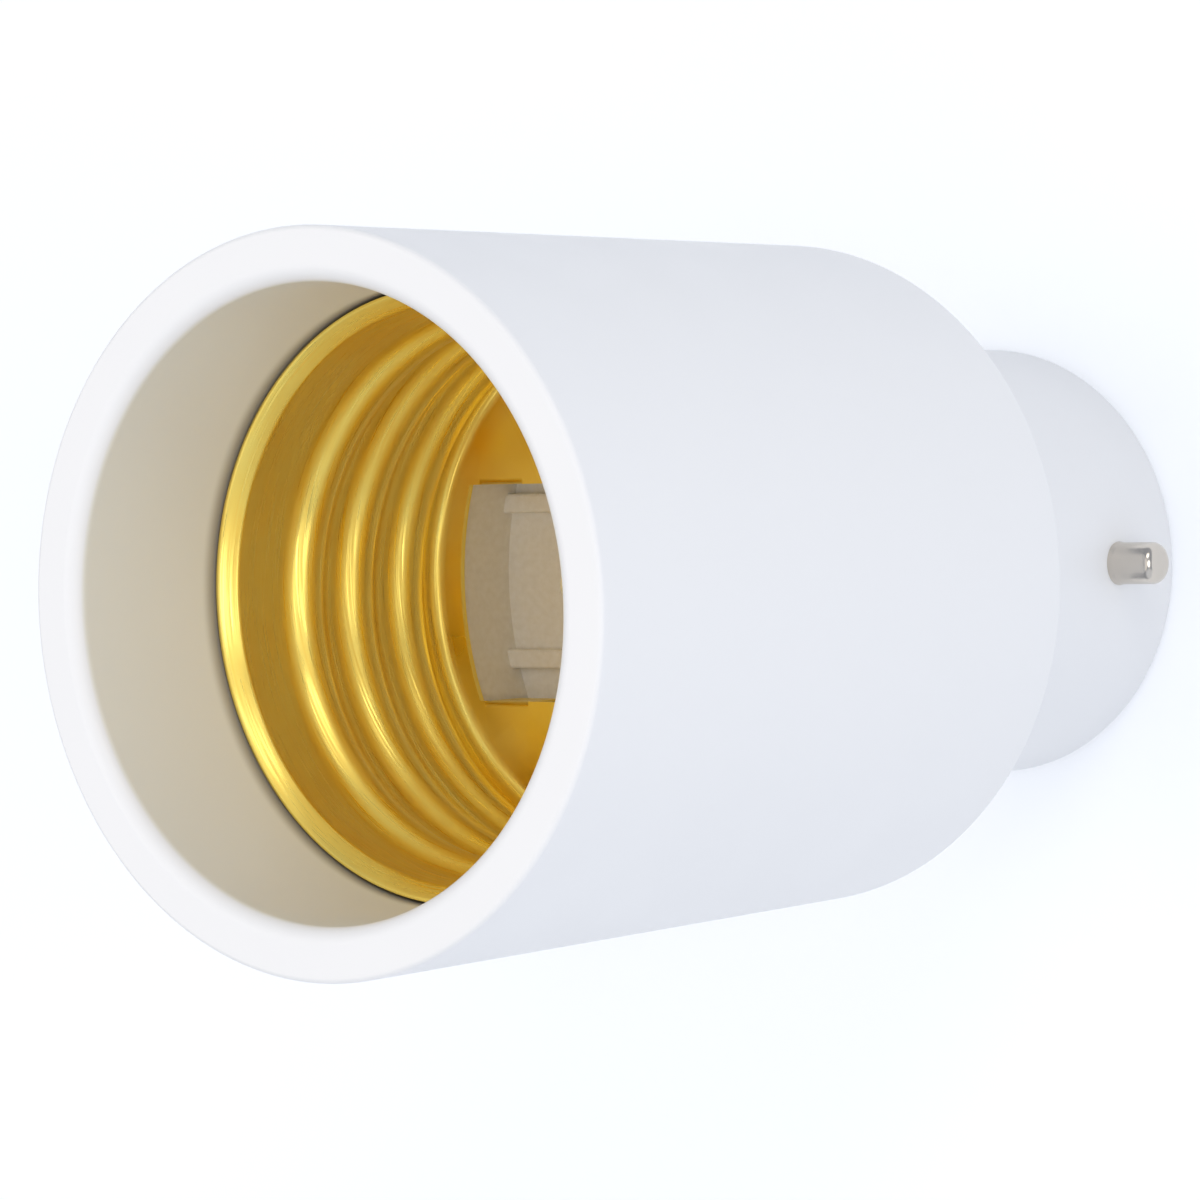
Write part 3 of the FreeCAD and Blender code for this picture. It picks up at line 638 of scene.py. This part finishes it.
def make_screw_shell():
    """The screw shell, drawn and rolled from one sheet: lip, helical thread, and a flat base with its window,
    four locking tabs and the solder tail folded down from the window's edges."""
    wall_low, wall_high = BASE_TOP + BASE_ROUND, LIP_TOP - LIP_FLARE - LIP_LAND
    rows = [wall_high + (wall_low - wall_high) * row / SHELL_ROWS for row in range(SHELL_ROWS + 1)]
    lip = rounded([
        (ROOT_R + LIP_FLARE, LIP_TOP),
        (ROOT_R + LIP_FLARE - LIP_LAND, LIP_TOP, LIP_TOP_ROUND),
        (ROOT_R, wall_high + LIP_LAND, LIP_FOOT_ROUND),
        (ROOT_R, wall_high),
    ])[:-1]
    corner = [
        (ROOT_R - BASE_ROUND * (1 - math.cos(turn)), wall_low - BASE_ROUND * math.sin(turn))
        for turn in quarter_turn(BASE_ROUND_STEPS)
    ]
    # The wall is spun plain, and then its rows are pressed in to the thread.
    bm = spun([*lip, *((ROOT_R, height) for height in rows), *corner], SHELL_STEPS)
    for vert in bm.verts:
        height = vert.co.z / MM
        if wall_low < height < wall_high:
            angle = math.atan2(vert.co.y, vert.co.x) % FULL_TURN
            radius = thread_radius(angle, height) * MM
            vert.co.xy = (radius * math.cos(angle), radius * math.sin(angle))
    # The base is filled between the wall's foot, the window and the two screw holes.
    rim = [
        edge for edge in bm.edges
        if all(abs(vert.co.z - BASE_TOP * MM) < MERGED for vert in edge.verts)
    ]
    tab_place = window_reach(WINDOW_FRONT) - TAB_INSET - TAB_WIDTH / 2
    tabs = ((-tab_place, TAB_WIDTH), (tab_place, TAB_WIDTH))
    tail = ((-TAIL_PLACE, TAIL_WIDTH),)
    window = window_side(-WINDOW_FRONT, tabs[:1] + tail + tabs[1:]) + window_end(1)
    window += window_side(WINDOW_BACK, tabs)[::-1] + window_end(-1)[::-1]
    loops = [window]
    turns = [FULL_TURN * step / HOLE_STEPS for step in range(HOLE_STEPS)]
    for side in (1, -1):
        loops.append([
            (SCREW_HOLE_R * math.cos(turn), SCREW_PLACE * side + SCREW_HOLE_R * math.sin(turn))
            for turn in turns
        ])
    for loop in loops:
        verts = [bm.verts.new(mm(x, y, BASE_TOP)) for x, y in loop]
        rim += [bm.edges.new(pair) for pair in zip(verts, verts[1:] + verts[:1])]
    bmesh.ops.triangle_fill(bm, edges=rim, use_beauty=True, use_dissolve=False, normal=(0, 0, 1))
    for place in (-tab_place, tab_place):
        fold_down(bm, -WINDOW_FRONT, place, TAB_TIP)
        fold_down(bm, WINDOW_BACK, place, TAB_TIP)
    fold_down(bm, -WINDOW_FRONT, -TAIL_PLACE, TAIL_TIP)
    # The side in view faces up and inwards, and the sheet's thickness goes behind it.
    bmesh.ops.recalc_face_normals(bm, faces=bm.faces)
    base = [
        face for face in bm.faces
        if all(abs(vert.co.z - BASE_TOP * MM) < MERGED for vert in face.verts)
    ]
    if sum(face.normal.z for face in base) < 0:
        bmesh.ops.reverse_faces(bm, faces=bm.faces)
    bm = shaped(bm, "SOLIDIFY", {"thickness": SHEET * MM, "offset": -1, "use_even_offset": True})
    finish_piece("rolled_shell", bm, "shell", "adapter", "screw_shell", angle=40)


def make_insert():
    """The moulded insert under the shell, as its solid is, with the top edges of its ribs rounded."""
    bm = bmesh.new()
    bm.from_mesh(frame["nodes"]["contact_carrier"].data)
    bmesh.ops.remove_doubles(bm, verts=bm.verts, dist=SAME_PLACE)
    bmesh.ops.dissolve_limit(bm, angle_limit=FLAT, verts=bm.verts, edges=bm.edges)
    ribs = [
        edge for edge in bm.edges
        if all(abs(vert.co.z - RIB_TOP * MM) < SAME_PLACE for vert in edge.verts)
        and abs(edge.verts[0].co.y - edge.verts[1].co.y) < SAME_PLACE
    ]
    bmesh.ops.bevel(
        bm, geom=ribs, offset=RIB_ROUND * MM, offset_type="OFFSET", affect="EDGES", segments=3, profile=0.5,
        material=-1,
    )
    finish_piece("insert", bm, "carrier", "adapter", "contact_carrier")


def make_leaf():
    """The contact leaf: riveted flat, up a slope and level again, tapered to a round nose."""
    middle = LEAF_SHEET / 2
    nose = LEAF_TIP + LEAF_NOSE_R
    corners = rounded([
        (LEAF_ROOT, POCKET_FLOOR + middle),
        (LEAF_FOOT, POCKET_FLOOR + middle, LEAF_BEND),
        (LEAF_CROWN, CROWN - middle, LEAF_BEND),
        (nose, CROWN - middle),
    ])
    path = [corners[0]]
    for start, end in zip(corners, corners[1:]):
        pieces = math.ceil((end - start).length / LEAF_STEP)
        path += [start.lerp(end, step / pieces) for step in range(1, pieces + 1)]
    path += [
        Vector((nose - LEAF_NOSE_R * math.sin(turn), CROWN - middle))
        for turn in quarter_turn(LEAF_NOSE_STEPS)
    ]
    # A strip from -1 to 1 mm on Y, whose rows are then spread to the leaf's half width at their place.
    bm = bmesh.new()
    chain = [bm.verts.new(mm(x, -1, z)) for x, z in path]
    edges = [bm.edges.new(pair) for pair in zip(chain, chain[1:])]
    for _ in range(LEAF_ROWS):
        grown = bmesh.ops.extrude_edge_only(bm, edges=edges)["geom"]
        edges = [item for item in grown if isinstance(item, bmesh.types.BMEdge)]
        verts = [item for item in grown if isinstance(item, bmesh.types.BMVert)]
        bmesh.ops.translate(bm, vec=mm(0, 2 / LEAF_ROWS, 0), verts=verts)
    for vert in bm.verts:
        x = vert.co.x / MM
        if x < nose:
            half = math.sqrt(max(LEAF_NOSE_R ** 2 - (nose - x) ** 2, 0))
        else:
            share = min(1.0, (x - nose) / (LEAF_TAPER - nose))
            half = LEAF_NOSE_R + (LEAF_HALF_WIDTH - LEAF_NOSE_R) * share
        vert.co.y *= half
    bmesh.ops.remove_doubles(bm, verts=bm.verts, dist=MERGED)
    bmesh.ops.recalc_face_normals(bm, faces=bm.faces)
    bm = shaped(bm, "SOLIDIFY", {"thickness": LEAF_SHEET * MM, "offset": 0, "use_even_offset": True})
    leaf = finish_piece("spring_leaf", bm, "leaf", None, "contact_leaf", angle=40)
    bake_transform(leaf)


def make_button():
    """The contact button: a domed head on the leaf, its shank, and the clench under the leaf."""
    sphere = (BUTTON_R ** 2 + BUTTON_HEIGHT ** 2) / (2 * BUTTON_HEIGHT)
    widest = math.asin(BUTTON_R / sphere)
    under = CROWN - LEAF_SHEET
    dome = [
        (sphere * math.sin(turn), CROWN + BUTTON_HEIGHT - sphere * (1 - math.cos(turn)))
        for turn in (widest * (1 - step / DOME_STEPS) for step in range(DOME_STEPS))
    ]
    outline = rounded([
        (0, under - CLENCH),
        (BUTTON_CLENCH_R, under - CLENCH, EDGE_ROUND),
        (BUTTON_CLENCH_R, under),
        (BUTTON_SHANK_R, under),
        (BUTTON_SHANK_R, CROWN),
        *dome,
        (0, CROWN + BUTTON_HEIGHT),
    ])
    finish_piece("domed_button", spun(outline, SMALL_TURN_STEPS), "button", "contact", "contact_button")


def make_leaf_rivet():
    """The rivet through the leaf's root, with the tail below that its lead is soldered to."""
    seat = POCKET_FLOOR + LEAF_SHEET
    bm = spun(rounded([
        (0, RIVET_TAIL),
        (RIVET_TAIL_R, RIVET_TAIL, EDGE_ROUND),
        (RIVET_TAIL_R, POCKET_UNDER - CLENCH),
        (RIVET_R, POCKET_UNDER - CLENCH, CLENCH_ROUND),
        (RIVET_R, POCKET_UNDER),
        (RIVET_SHANK_R, POCKET_UNDER),
        (RIVET_SHANK_R, seat),
        (RIVET_R, seat),
        (RIVET_R, seat + RIVET_HEAD, RIVET_HEAD_ROUND),
        (0, seat + RIVET_HEAD),
    ]), SMALL_TURN_STEPS)
    move(bm, Matrix.Translation(mm(RIVET_PLACE, 0, 0)))
    finish_piece("root_rivet", bm, "button", "adapter", "leaf_rivet")


def make_fixing_screw(side, name):
    """A pan head screw with a driver's slot."""
    bm = spun(rounded([
        (0, SCREW_END),
        (SCREW_R, SCREW_END + SCREW_R),
        (SCREW_R, BASE_TOP),
        (SCREW_HEAD_R, BASE_TOP),
        (SCREW_HEAD_R, SCREW_HEAD_TOP, SCREW_HEAD_ROUND),
        (0, SCREW_HEAD_TOP),
    ]), SMALL_TURN_STEPS)
    half = SCREW_SLOT / 2
    past = SCREW_HEAD_R + OVERRUN
    slot = block((-past, -half, SCREW_HEAD_TOP - SCREW_SLOT_DEPTH), (past, half, SCREW_HEAD_TOP + OVERRUN))
    bm = move(cut(bm, slot), Matrix.Translation(mm(0, SCREW_PLACE * side, 0)))
    finish_piece(f"slotted_screw_{name}", bm, "screw", "adapter", f"fixing_screw_{name}")


def make_end_contact(side, name):
    """A flat brass contact, let into the end of the cap and clenched inside it."""
    bm = spun(rounded([
        (0, 0),
        (END_CONTACT_R, 0, EDGE_ROUND),
        (END_CONTACT_R, END_CONTACT_HEAD),
        (END_CONTACT_SHANK_R, END_CONTACT_HEAD),
        (END_CONTACT_SHANK_R, END_WALL),
        (END_CONTACT_SHANK_R + CLENCH, END_WALL),
        (END_CONTACT_SHANK_R + CLENCH, END_WALL + CLENCH, CLENCH_ROUND),
        (END_CONTACT_TAIL_R, END_WALL + CLENCH),
        (END_CONTACT_TAIL_R, END_CONTACT_TAIL),
        (0, END_CONTACT_TAIL),
    ]), SMALL_TURN_STEPS)
    move(bm, Matrix.Translation(mm(0, END_CONTACT_PLACE * side, 0)))
    finish_piece(f"brass_contact_{name}", bm, "end_contact", "adapter", f"end_contact_{name}")


def make_bayonet_pin(side, name):
    """A nickel plated pin with a rounded tip, slightly upset where it was pressed into the cap."""
    bm = spun(rounded([
        (0, PIN_FOOT),
        (PIN_R, PIN_FOOT),
        (PIN_R, PIN_UPSET_START),
        (PIN_R + PIN_UPSET, PIN_UPSET_TOP, PIN_UPSET_ROUND),
        (PIN_R, PIN_UPSET_END, PIN_UPSET_FADE),
        (PIN_R, PIN_TIP, PIN_TIP_ROUND),
        (0, PIN_TIP),
    ]), SMALL_TURN_STEPS)
    turn = Matrix.Rotation(side * math.pi / 2, 4, "Y")
    move(bm, Matrix.Translation(mm(0, 0, PIN_HEIGHT)) @ turn)
    finish_piece(f"plated_pin_{name}", bm, "pin", "adapter", f"bayonet_pin_{name}")


def dress_cad_nodes():
    """Give each solid that stays in view the material of its slot."""
    slots = {entry["node"]: entry["material_slot"] for entry in frame["record"]["subparts"]}
    for name, node in frame["nodes"].items():
        node.data.materials.clear()
        node.data.materials.append(MATERIALS[slots[name]])


def make_floor():
    """A plain pale floor that shows as white, with the adapter's soft shadow on it."""
    bm = bmesh.new()
    bmesh.ops.create_grid(bm, x_segments=1, y_segments=1, size=FLOOR_REACH * MM)
    floor = add_object("floor", as_mesh("floor", bm))
    material, tree, shader = new_material("matt_white_floor", "#e4e8ee", 0.9)
    path = add_node(tree, "ShaderNodeLightPath")
    seen = path.outputs["Is Camera Ray"]
    for kind in ("Is Glossy Ray", "Is Transmission Ray"):
        either = add_node(
            tree, "ShaderNodeMath", {"operation": "MAXIMUM"}, {0: seen, 1: path.outputs[kind]}
        )
        seen = either.outputs[0]
    glow = add_node(tree, "ShaderNodeMath", {"operation": "MULTIPLY", 1: FLOOR_GLOW}, {0: seen})
    shader.inputs["Emission Color"].default_value = (1, 1, 1, 1)
    tree.links.new(glow.outputs[0], shader.inputs["Emission Strength"])
    floor.data.materials.append(material)


def make_lamp(name, place, size, energy, colour):
    """A round soft lamp at a place in millimetres, turned to the mouth."""
    light = bpy.data.lights.new(name, "AREA")
    light.shape = "DISK"
    light.size = size
    light.energy = energy
    light.color = linear(colour)[:3]
    lamp = add_object(name, light)
    aim = (mm(*place) - mm(0, 0, LIP_TOP)).to_track_quat("Z", "Y").to_matrix().to_4x4()
    lamp.matrix_world = Matrix.Translation(mm(*place)) @ aim


def make_lights():
    """A pale sky, a wide soft lamp overhead, one on each side, a small one that picks out the thread, and a
    dim wide one for the light that a table throws back."""
    world = bpy.data.worlds.new("studio")
    world.use_nodes = True
    sky = world.node_tree.nodes["Background"]
    sky.inputs["Color"].default_value = linear("#e8f0ff")
    sky.inputs["Strength"].default_value = 0.49
    bpy.context.scene.world = world
    make_lamp("overhead_lamp", (0, -40, 700), 1.0, 1.75, "#fff6ea")
    make_lamp("side_lamp", (600, -20, 430), 0.4, 0.95, "#fffcfa")
    make_lamp("far_lamp", (-550, 60, 560), 0.6, 0.9, "#fffaf2")
    make_lamp("thread_lamp", (400, 500, 480), 0.35, 0.85, "#fffaf2")
    make_lamp("table_lamp", (350, -600, 150), 1.0, 1.1, "#f4f8ff")


def make_camera():
    """The photograph's view: from above the mouth, on the side of the right pin, with +Y up the picture."""
    lens = bpy.data.cameras.new("camera")
    lens.sensor_width = 36
    lens.lens = 150
    lens.clip_start = 0.01
    camera = add_object("camera", lens)
    back = Vector(CAMERA_BACK).normalized()
    right = Vector(CAMERA_UP).cross(back).normalized()
    turn = Matrix((right, back.cross(right), back)).transposed().to_4x4()
    camera.matrix_world = Matrix.Translation(mm(*CAMERA_PLACE)) @ turn
    bpy.context.scene.camera = camera


make_camera()
make_lights()
make_floor()
dress_cad_nodes()
make_housing()
make_screw_shell()
make_insert()
make_leaf()
make_button()
make_leaf_rivet()
for end, end_name in ((1, "back"), (-1, "front")):
    make_fixing_screw(end, end_name)
    make_end_contact(end, end_name)
for end, end_name in ((1, "right"), (-1, "left")):
    make_bayonet_pin(end, end_name)
bpy.context.scene.view_settings.view_transform = "Standard"
